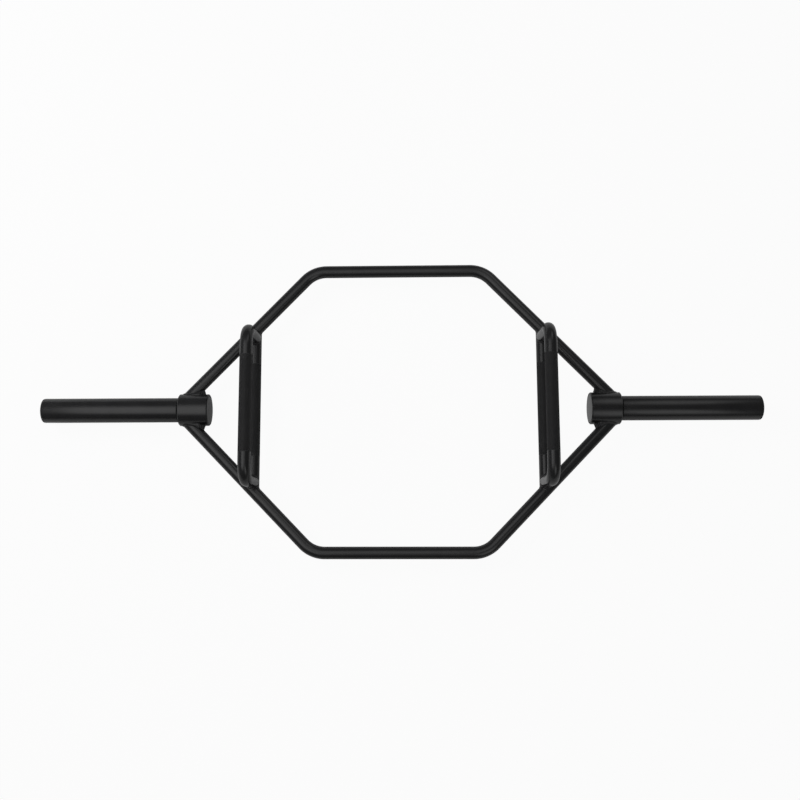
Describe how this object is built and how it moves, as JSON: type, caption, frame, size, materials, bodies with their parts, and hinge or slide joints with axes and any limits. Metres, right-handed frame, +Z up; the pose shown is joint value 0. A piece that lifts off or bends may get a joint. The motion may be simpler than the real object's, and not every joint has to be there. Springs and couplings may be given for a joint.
{
  "type": "hex trap bar",
  "caption": "Hexagonal trap bar of bent steel tube with turning plate sleeves and straight and raised knurled handles, for lifting from inside the frame.",
  "frame": {"origin": "on the floor under the middle of the bar, which lies on its two hubs", "axes": "+X along the sleeves to the right, +Y from the front run to the rear run, +Z up, the side that the raised handles stand on"},
  "size_m": [1.462, 0.604, 0.16],
  "materials": {
    "black_coat": "satin black powder coat",
    "knurled_coat": "satin black powder coat, matte diamond knurl in the middle of each grip",
    "weld_coat": "black coat over rippled weld beads",
    "bare_steel": "turned and greased",
    "plated_steel": "zinc plated",
    "bush_bronze": "sintered bronze",
    "black_plastic": "moulded, matte"
  },
  "bodies": {
    "frame": {"front_frame_tube": "black_coat", "rear_frame_tube": "black_coat", "left_hub": "black_coat", "left_hub_end_plate": "black_coat", "left_spindle": "bare_steel", "left_thrust_washer": "black_plastic", "left_retaining_washer": "plated_steel", "left_retaining_bolt": "plated_steel", "left_lower_handle": "knurled_coat", "left_raised_handle": "knurled_coat", "left_front_hub_weld": "weld_coat", "left_front_handle_weld": "weld_coat", "left_rear_hub_weld": "weld_coat", "left_rear_handle_weld": "weld_coat", "right_hub": "black_coat", "right_hub_end_plate": "black_coat", "right_spindle": "bare_steel", "right_thrust_washer": "black_plastic", "right_retaining_washer": "plated_steel", "right_retaining_bolt": "plated_steel", "right_lower_handle": "knurled_coat", "right_raised_handle": "knurled_coat", "right_front_hub_weld": "weld_coat", "right_front_handle_weld": "weld_coat", "right_rear_hub_weld": "weld_coat", "right_rear_handle_weld": "weld_coat"},
    "left_sleeve_group": {"left_sleeve": "black_coat", "left_sleeve_end_cap": "black_plastic", "left_inner_bush": "bush_bronze", "left_outer_bush": "bush_bronze"},
    "right_sleeve_group": {"right_sleeve": "black_coat", "right_sleeve_end_cap": "black_plastic", "right_inner_bush": "bush_bronze", "right_outer_bush": "bush_bronze"}
  },
  "joints": [
    {"name": "left_sleeve_spin", "type": "hinge", "parent": "frame", "child": "left_sleeve_group", "pos_m": [-0.58975, 0, 0.0325], "axis": [1, 0, 0], "continuous": true},
    {"name": "right_sleeve_spin", "type": "hinge", "parent": "frame", "child": "right_sleeve_group", "pos_m": [0.58975, 0, 0.0325], "axis": [1, 0, 0], "continuous": true}
  ]
}
